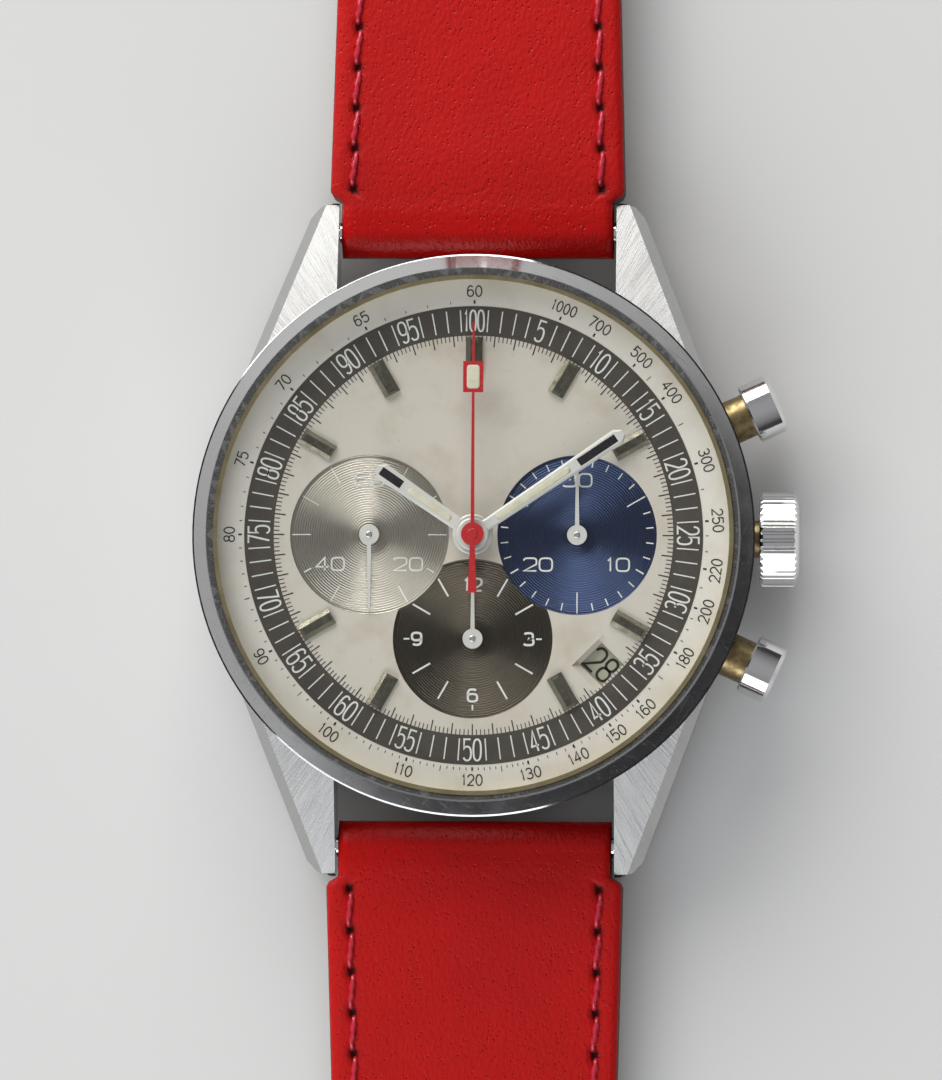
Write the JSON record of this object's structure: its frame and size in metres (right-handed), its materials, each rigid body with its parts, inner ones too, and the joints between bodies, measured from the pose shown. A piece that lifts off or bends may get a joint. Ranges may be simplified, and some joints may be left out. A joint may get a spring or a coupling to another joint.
{
  "type": "chronograph wristwatch",
  "caption": "Hand-set automatic chronograph wristwatch with tachymeter dial, start and reset pushers, crown, geared movement and a leather strap with tang buckle.",
  "frame": {"origin": "centre of the flat face of the case back, on the table", "axes": "+Z out of the dial, +Y towards twelve o'clock and the buckle, +X towards the crown"},
  "size_m": [0.041, 0.2408, 0.0128],
  "materials": {
    "polished_steel": "polished",
    "brushed_steel": "brushed",
    "blued_steel": "blued",
    "crystal": "clear",
    "brass": "satin",
    "gasket": "matt",
    "dial_cream": "matt",
    "grey_disc": "grooved",
    "blue_disc": "grooved",
    "charcoal_disc": "grooved",
    "date_white": "matt",
    "hand_white": "satin",
    "hand_red": "gloss",
    "red_leather": "fine grain"
  },
  "bodies": {
    "case": {"mid_case": "brushed_steel", "bezel": "polished_steel", "crystal": "crystal", "tension_ring": "brass", "case_back": "brushed_steel", "case_back_gasket": "gasket", "case_tubes": "brass", "spring_bars": "polished_steel", "dial": "dial_cream", "seconds_subdial": "grey_disc", "minutes_subdial": "blue_disc", "hours_subdial": "charcoal_disc", "hour_markers": "charcoal_disc", "movement_ring": "brass", "main_plate": "brass", "train_bridge": "brass", "balance_cock": "brass", "bridge_screws": "blued_steel", "start_pusher_spring": "polished_steel", "reset_pusher_spring": "polished_steel"},
    "crown_seal": {"crown_gasket": "gasket"},
    "crown_knob": {"crown": "polished_steel", "winding_stem": "polished_steel"},
    "winding_pinion": {"winding_pinion": "polished_steel"},
    "start_button": {"start_pusher": "polished_steel"},
    "reset_button": {"reset_pusher": "polished_steel"},
    "seconds_train": {"fourth_wheel": "brass", "running_seconds_hand": "hand_white"},
    "third_train": {"third_wheel": "brass"},
    "minute_train": {"center_wheel": "brass", "cannon_pinion": "polished_steel", "minute_hand": "hand_white"},
    "hour_train": {"hour_wheel": "brass", "hour_hand": "hand_white"},
    "motion_wheel": {"minute_wheel": "brass"},
    "barrel_drum": {"barrel": "brass", "mainspring": "blued_steel"},
    "barrel_core": {"barrel_arbor": "polished_steel", "ratchet_wheel": "polished_steel"},
    "reverser": {"reversing_wheel": "brass"},
    "winding_rotor": {"rotor": "brass"},
    "escape": {"escape_wheel": "polished_steel"},
    "fork": {"pallet_fork": "polished_steel"},
    "balance": {"balance_wheel": "brass", "hairspring": "blued_steel"},
    "chrono_train": {"chrono_wheel": "brass", "chrono_seconds_hand": "hand_red"},
    "chrono_middle": {"chrono_intermediate_wheel": "brass"},
    "minute_counter": {"minute_counter_wheel": "brass", "minute_counter_hand": "hand_white"},
    "hour_counter": {"hour_counter_wheel": "brass", "hour_counter_hand": "hand_white"},
    "date_ring": {"date_disc": "date_white"},
    "strap_top": {"strap_buckle_half": "red_leather", "fixed_keeper": "red_leather"},
    "strap_tail": {"strap_tail_half": "red_leather"},
    "keeper": {"free_keeper": "red_leather"},
    "buckle": {"buckle_frame": "polished_steel", "buckle_pin": "polished_steel"},
    "tongue": {"buckle_tongue": "polished_steel"}
  },
  "joints": [
    {"name": "crown_pull", "type": "slide", "parent": "case", "child": "crown_seal", "axis": [1, 0, 0], "range_m": [0, 0.0015]},
    {"name": "crown_turn", "type": "hinge", "parent": "crown_seal", "child": "crown_knob", "pos_m": [0.02, 0, 0.00423], "axis": [1, 0, 0], "continuous": true},
    {"name": "winding_pinion_turn", "type": "hinge", "parent": "case", "child": "winding_pinion", "pos_m": [0.0118, 0, 0.00423], "axis": [1, 0, 0], "continuous": true},
    {"name": "start_press", "type": "slide", "parent": "case", "child": "start_button", "axis": [-0.91, -0.4147, 0], "range_m": [0, 0.0009], "stiffness_N_per_m": 1500, "springref_m": -0.0006, "deforming": ["start_pusher_spring"]},
    {"name": "reset_press", "type": "slide", "parent": "case", "child": "reset_button", "axis": [-0.91, 0.4147, 0], "range_m": [0, 0.0009], "stiffness_N_per_m": 1500, "springref_m": -0.0006, "deforming": ["reset_pusher_spring"]},
    {"name": "running_seconds_turn", "type": "hinge", "parent": "case", "child": "seconds_train", "pos_m": [-0.0069, 0, 0.005], "axis": [0, 0, -1], "continuous": true},
    {"name": "third_wheel_turn", "type": "hinge", "parent": "case", "child": "third_train", "pos_m": [-0.00379, -0.00275, 0.005], "axis": [0, 0, -1], "continuous": true},
    {"name": "minute_hand_turn", "type": "hinge", "parent": "case", "child": "minute_train", "pos_m": [0, 0, 0.005], "axis": [0, 0, -1], "continuous": true},
    {"name": "hour_hand_turn", "type": "hinge", "parent": "case", "child": "hour_train", "pos_m": [0, 0, 0.005], "axis": [0, 0, -1], "continuous": true},
    {"name": "minute_wheel_turn", "type": "hinge", "parent": "case", "child": "motion_wheel", "pos_m": [0.00192, 0.00333, 0.005], "axis": [0, 0, -1], "continuous": true},
    {"name": "barrel_turn", "type": "hinge", "parent": "case", "child": "barrel_drum", "pos_m": [0.003, 0.0052, 0.005], "axis": [0, 0, -1], "continuous": true, "deforming": ["mainspring"]},
    {"name": "escape_wheel_turn", "type": "hinge", "parent": "case", "child": "escape", "pos_m": [-0.01029, -0.00158, 0.005], "axis": [0, 0, -1], "continuous": true},
    {"name": "pallet_fork_rock", "type": "hinge", "parent": "case", "child": "fork", "pos_m": [-0.00916, -0.00353, 0.005], "axis": [0, 0, -1], "range_deg": [-5, 5]},
    {"name": "balance_swing", "type": "hinge", "parent": "case", "child": "balance", "pos_m": [-0.00662, -0.00789, 0.005], "axis": [0, 0, -1], "range_deg": [-270, 270], "stiffness_Nm_per_rad": 0.000002, "deforming": ["hairspring"]},
    {"name": "chrono_seconds_turn", "type": "hinge", "parent": "case", "child": "chrono_train", "pos_m": [0, 0, 0.005], "axis": [0, 0, -1], "continuous": true},
    {"name": "chrono_intermediate_turn", "type": "hinge", "parent": "case", "child": "chrono_middle", "pos_m": [0.00288, 0, 0.005], "axis": [0, 0, -1], "continuous": true},
    {"name": "minute_counter_turn", "type": "hinge", "parent": "case", "child": "minute_counter", "pos_m": [0.0069, 0, 0.005], "axis": [0, 0, -1], "continuous": true},
    {"name": "hour_counter_turn", "type": "hinge", "parent": "case", "child": "hour_counter", "pos_m": [0, -0.0069, 0.005], "axis": [0, 0, -1], "continuous": true},
    {"name": "date_disc_turn", "type": "hinge", "parent": "case", "child": "date_ring", "pos_m": [0, 0, 0.005], "axis": [0, 0, -1], "continuous": true},
    {"name": "rotor_turn", "type": "hinge", "parent": "case", "child": "winding_rotor", "pos_m": [0, 0, 0.005], "axis": [0, 0, -1], "continuous": true},
    {"name": "reversing_wheel_turn", "type": "hinge", "parent": "case", "child": "reverser", "pos_m": [0.00125, 0.00217, 0.005], "axis": [0, 0, -1], "continuous": true},
    {"name": "ratchet_wheel_turn", "type": "hinge", "parent": "case", "child": "barrel_core", "pos_m": [0.003, 0.0052, 0.005], "axis": [0, 0, -1], "continuous": true},
    {"name": "strap_buckle_swing", "type": "hinge", "parent": "case", "child": "strap_top", "pos_m": [0, 0.021, 0.0029], "axis": [1, 0, 0], "range_deg": [-85, 60]},
    {"name": "strap_tail_swing", "type": "hinge", "parent": "case", "child": "strap_tail", "pos_m": [0, -0.021, 0.0029], "axis": [-1, 0, 0], "range_deg": [-85, 60]},
    {"name": "free_keeper_slide", "type": "slide", "parent": "strap_top", "child": "keeper", "axis": [0, 1, 0], "range_m": [-0.01, 0.0055]},
    {"name": "buckle_swing", "type": "hinge", "parent": "strap_top", "child": "buckle", "pos_m": [0, 0.096, 0.0021], "axis": [1, 0, 0], "range_deg": [-60, 50]},
    {"name": "tongue_swing", "type": "hinge", "parent": "buckle", "child": "tongue", "pos_m": [0, 0.096, 0.0021], "axis": [1, 0, 0], "range_deg": [0, 60]}
  ],
  "couplings": [
    {"joint": "third_wheel_turn", "follows": "running_seconds_turn", "ratio": -0.13333},
    {"joint": "minute_hand_turn", "follows": "running_seconds_turn", "ratio": 0.016667},
    {"joint": "hour_hand_turn", "follows": "running_seconds_turn", "ratio": 0.0013889},
    {"joint": "minute_wheel_turn", "follows": "running_seconds_turn", "ratio": -0.0055556},
    {"joint": "barrel_turn", "follows": "running_seconds_turn", "ratio": -0.0027778},
    {"joint": "escape_wheel_turn", "follows": "running_seconds_turn", "ratio": -15},
    {"joint": "chrono_intermediate_turn", "follows": "chrono_seconds_turn", "ratio": -0.2},
    {"joint": "minute_counter_turn", "follows": "chrono_seconds_turn", "ratio": 0.033333},
    {"joint": "hour_counter_turn", "follows": "chrono_seconds_turn", "ratio": 0.0013889},
    {"joint": "reversing_wheel_turn", "follows": "rotor_turn", "ratio": -0.92308},
    {"joint": "ratchet_wheel_turn", "follows": "rotor_turn", "ratio": 0.54545},
    {"joint": "winding_pinion_turn", "follows": "crown_turn", "ratio": 1}
  ]
}
